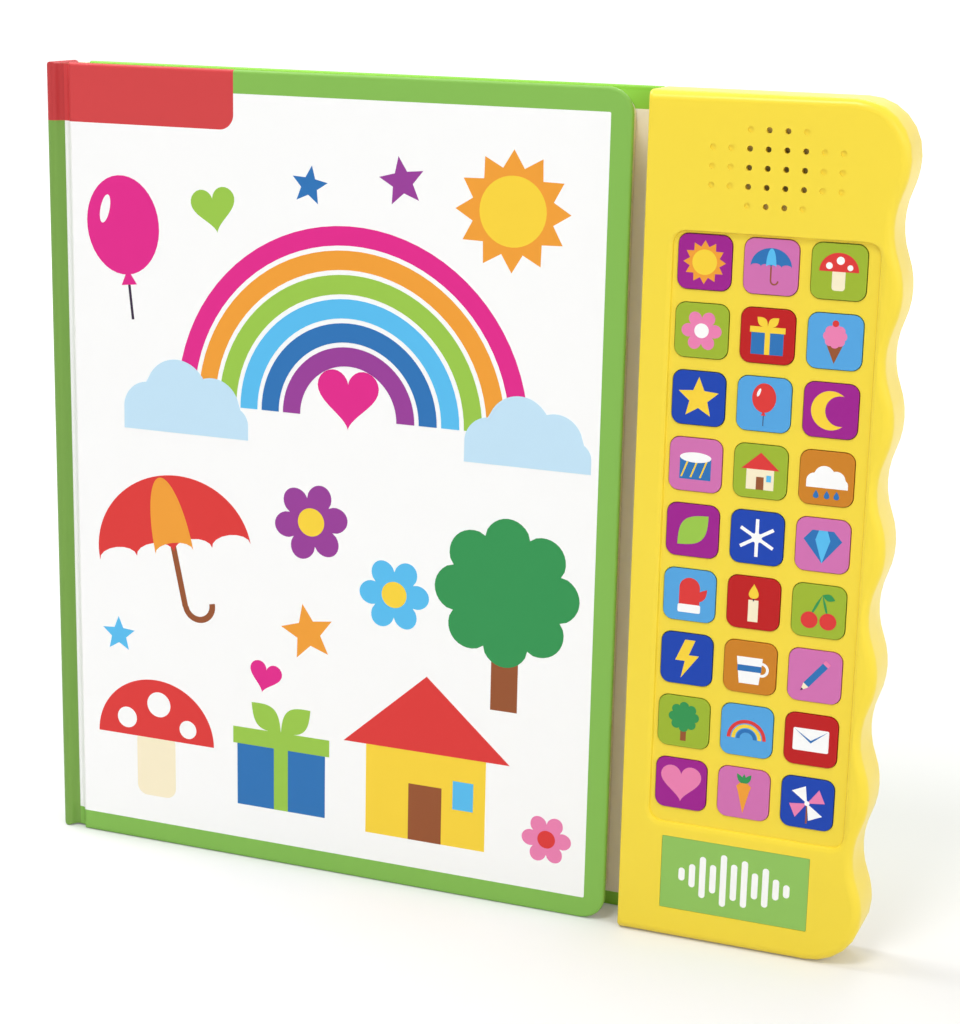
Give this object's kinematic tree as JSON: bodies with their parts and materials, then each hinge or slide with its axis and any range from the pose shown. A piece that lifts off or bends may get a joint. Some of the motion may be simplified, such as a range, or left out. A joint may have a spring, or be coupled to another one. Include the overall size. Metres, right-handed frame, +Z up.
{
  "type": "sound book",
  "caption": "Hardback sound book with hinged covers and a wavy-edged sound module of square push keys, speaker grille and label beside the front cover.",
  "frame": {"origin": "middle of the footprint on the surface that the book stands on", "axes": "+X from the spine to the sound module, +Y from the front cover to the back cover, +Z up the page"},
  "size_m": [0.2864, 0.019, 0.267],
  "materials": {
    "cover_print": "gloss laminated printed board",
    "lining": "coated paper",
    "pages": "cut page edges",
    "housing": "moulded, satin gloss",
    "label": "printed sticker",
    "screws": "zinc plated",
    "silicone": "matt",
    "board": "solder mask",
    "chip": "epoxy",
    "speaker_steel": "pressed steel",
    "speaker_paper": "pressed cone",
    "magnet": "plain",
    "leads": "insulation",
    "battery_wrap": "sleeve",
    "contacts": "nickel plated",
    "key_purple": "printed, satin",
    "key_pink": "printed, satin",
    "key_lime": "printed, satin",
    "key_red": "printed, satin",
    "key_sky": "printed, satin",
    "key_blue": "printed, satin",
    "key_orange": "printed, satin"
  },
  "bodies": {
    "module": {"back_cover": "cover_print", "rear_pastedown": "lining", "front_housing": "housing", "rear_housing": "housing", "front_label": "label", "battery_door": "housing", "battery_door_screw": "screws", "housing_screws": "screws", "keypad": "silicone", "circuit_board": "board", "sound_chip": "chip", "speaker_frame": "speaker_steel", "speaker_cone": "speaker_paper", "speaker_magnet": "magnet", "speaker_leads": "leads", "battery_upper": "battery_wrap", "battery_lower": "battery_wrap", "contact_springs": "contacts", "contact_plates": "contacts", "battery_leads": "leads"},
    "pages": {"spine": "cover_print", "front_joint": "cover_print", "rear_joint": "cover_print", "page_block": "pages"},
    "front_cover": {"front_cover": "cover_print", "front_pastedown": "lining"},
    "key_1_1": {"key_1_1": "key_purple"},
    "key_1_2": {"key_1_2": "key_pink"},
    "key_1_3": {"key_1_3": "key_lime"},
    "key_2_1": {"key_2_1": "key_lime"},
    "key_2_2": {"key_2_2": "key_red"},
    "key_2_3": {"key_2_3": "key_sky"},
    "key_3_1": {"key_3_1": "key_blue"},
    "key_3_2": {"key_3_2": "key_sky"},
    "key_3_3": {"key_3_3": "key_purple"},
    "key_4_1": {"key_4_1": "key_pink"},
    "key_4_2": {"key_4_2": "key_lime"},
    "key_4_3": {"key_4_3": "key_orange"},
    "key_5_1": {"key_5_1": "key_purple"},
    "key_5_2": {"key_5_2": "key_blue"},
    "key_5_3": {"key_5_3": "key_pink"},
    "key_6_1": {"key_6_1": "key_sky"},
    "key_6_2": {"key_6_2": "key_red"},
    "key_6_3": {"key_6_3": "key_lime"},
    "key_7_1": {"key_7_1": "key_blue"},
    "key_7_2": {"key_7_2": "key_orange"},
    "key_7_3": {"key_7_3": "key_pink"},
    "key_8_1": {"key_8_1": "key_lime"},
    "key_8_2": {"key_8_2": "key_sky"},
    "key_8_3": {"key_8_3": "key_red"},
    "key_9_1": {"key_9_1": "key_purple"},
    "key_9_2": {"key_9_2": "key_pink"},
    "key_9_3": {"key_9_3": "key_blue"}
  },
  "joints": [
    {"name": "back_cover_hinge", "type": "hinge", "parent": "module", "child": "pages", "pos_m": [-0.13715, 0.00965, 0], "axis": [0, 0, -1], "range_deg": [0, 175]},
    {"name": "front_cover_hinge", "type": "hinge", "parent": "pages", "child": "front_cover", "pos_m": [-0.13715, -0.00665, 0], "axis": [0, 0, -1], "range_deg": [0, 175]},
    {"name": "key_1_1_press", "type": "slide", "parent": "module", "child": "key_1_1", "axis": [0, 1, 0], "range_m": [0, 0.0008], "stiffness_N_per_m": 900, "deforming": ["keypad"]},
    {"name": "key_1_2_press", "type": "slide", "parent": "module", "child": "key_1_2", "axis": [0, 1, 0], "range_m": [0, 0.0008], "stiffness_N_per_m": 900, "deforming": ["keypad"]},
    {"name": "key_1_3_press", "type": "slide", "parent": "module", "child": "key_1_3", "axis": [0, 1, 0], "range_m": [0, 0.0008], "stiffness_N_per_m": 900, "deforming": ["keypad"]},
    {"name": "key_2_1_press", "type": "slide", "parent": "module", "child": "key_2_1", "axis": [0, 1, 0], "range_m": [0, 0.0008], "stiffness_N_per_m": 900, "deforming": ["keypad"]},
    {"name": "key_2_2_press", "type": "slide", "parent": "module", "child": "key_2_2", "axis": [0, 1, 0], "range_m": [0, 0.0008], "stiffness_N_per_m": 900, "deforming": ["keypad"]},
    {"name": "key_2_3_press", "type": "slide", "parent": "module", "child": "key_2_3", "axis": [0, 1, 0], "range_m": [0, 0.0008], "stiffness_N_per_m": 900, "deforming": ["keypad"]},
    {"name": "key_3_1_press", "type": "slide", "parent": "module", "child": "key_3_1", "axis": [0, 1, 0], "range_m": [0, 0.0008], "stiffness_N_per_m": 900, "deforming": ["keypad"]},
    {"name": "key_3_2_press", "type": "slide", "parent": "module", "child": "key_3_2", "axis": [0, 1, 0], "range_m": [0, 0.0008], "stiffness_N_per_m": 900, "deforming": ["keypad"]},
    {"name": "key_3_3_press", "type": "slide", "parent": "module", "child": "key_3_3", "axis": [0, 1, 0], "range_m": [0, 0.0008], "stiffness_N_per_m": 900, "deforming": ["keypad"]},
    {"name": "key_4_1_press", "type": "slide", "parent": "module", "child": "key_4_1", "axis": [0, 1, 0], "range_m": [0, 0.0008], "stiffness_N_per_m": 900, "deforming": ["keypad"]},
    {"name": "key_4_2_press", "type": "slide", "parent": "module", "child": "key_4_2", "axis": [0, 1, 0], "range_m": [0, 0.0008], "stiffness_N_per_m": 900, "deforming": ["keypad"]},
    {"name": "key_4_3_press", "type": "slide", "parent": "module", "child": "key_4_3", "axis": [0, 1, 0], "range_m": [0, 0.0008], "stiffness_N_per_m": 900, "deforming": ["keypad"]},
    {"name": "key_5_1_press", "type": "slide", "parent": "module", "child": "key_5_1", "axis": [0, 1, 0], "range_m": [0, 0.0008], "stiffness_N_per_m": 900, "deforming": ["keypad"]},
    {"name": "key_5_2_press", "type": "slide", "parent": "module", "child": "key_5_2", "axis": [0, 1, 0], "range_m": [0, 0.0008], "stiffness_N_per_m": 900, "deforming": ["keypad"]},
    {"name": "key_5_3_press", "type": "slide", "parent": "module", "child": "key_5_3", "axis": [0, 1, 0], "range_m": [0, 0.0008], "stiffness_N_per_m": 900, "deforming": ["keypad"]},
    {"name": "key_6_1_press", "type": "slide", "parent": "module", "child": "key_6_1", "axis": [0, 1, 0], "range_m": [0, 0.0008], "stiffness_N_per_m": 900, "deforming": ["keypad"]},
    {"name": "key_6_2_press", "type": "slide", "parent": "module", "child": "key_6_2", "axis": [0, 1, 0], "range_m": [0, 0.0008], "stiffness_N_per_m": 900, "deforming": ["keypad"]},
    {"name": "key_6_3_press", "type": "slide", "parent": "module", "child": "key_6_3", "axis": [0, 1, 0], "range_m": [0, 0.0008], "stiffness_N_per_m": 900, "deforming": ["keypad"]},
    {"name": "key_7_1_press", "type": "slide", "parent": "module", "child": "key_7_1", "axis": [0, 1, 0], "range_m": [0, 0.0008], "stiffness_N_per_m": 900, "deforming": ["keypad"]},
    {"name": "key_7_2_press", "type": "slide", "parent": "module", "child": "key_7_2", "axis": [0, 1, 0], "range_m": [0, 0.0008], "stiffness_N_per_m": 900, "deforming": ["keypad"]},
    {"name": "key_7_3_press", "type": "slide", "parent": "module", "child": "key_7_3", "axis": [0, 1, 0], "range_m": [0, 0.0008], "stiffness_N_per_m": 900, "deforming": ["keypad"]},
    {"name": "key_8_1_press", "type": "slide", "parent": "module", "child": "key_8_1", "axis": [0, 1, 0], "range_m": [0, 0.0008], "stiffness_N_per_m": 900, "deforming": ["keypad"]},
    {"name": "key_8_2_press", "type": "slide", "parent": "module", "child": "key_8_2", "axis": [0, 1, 0], "range_m": [0, 0.0008], "stiffness_N_per_m": 900, "deforming": ["keypad"]},
    {"name": "key_8_3_press", "type": "slide", "parent": "module", "child": "key_8_3", "axis": [0, 1, 0], "range_m": [0, 0.0008], "stiffness_N_per_m": 900, "deforming": ["keypad"]},
    {"name": "key_9_1_press", "type": "slide", "parent": "module", "child": "key_9_1", "axis": [0, 1, 0], "range_m": [0, 0.0008], "stiffness_N_per_m": 900, "deforming": ["keypad"]},
    {"name": "key_9_2_press", "type": "slide", "parent": "module", "child": "key_9_2", "axis": [0, 1, 0], "range_m": [0, 0.0008], "stiffness_N_per_m": 900, "deforming": ["keypad"]},
    {"name": "key_9_3_press", "type": "slide", "parent": "module", "child": "key_9_3", "axis": [0, 1, 0], "range_m": [0, 0.0008], "stiffness_N_per_m": 900, "deforming": ["keypad"]}
  ]
}
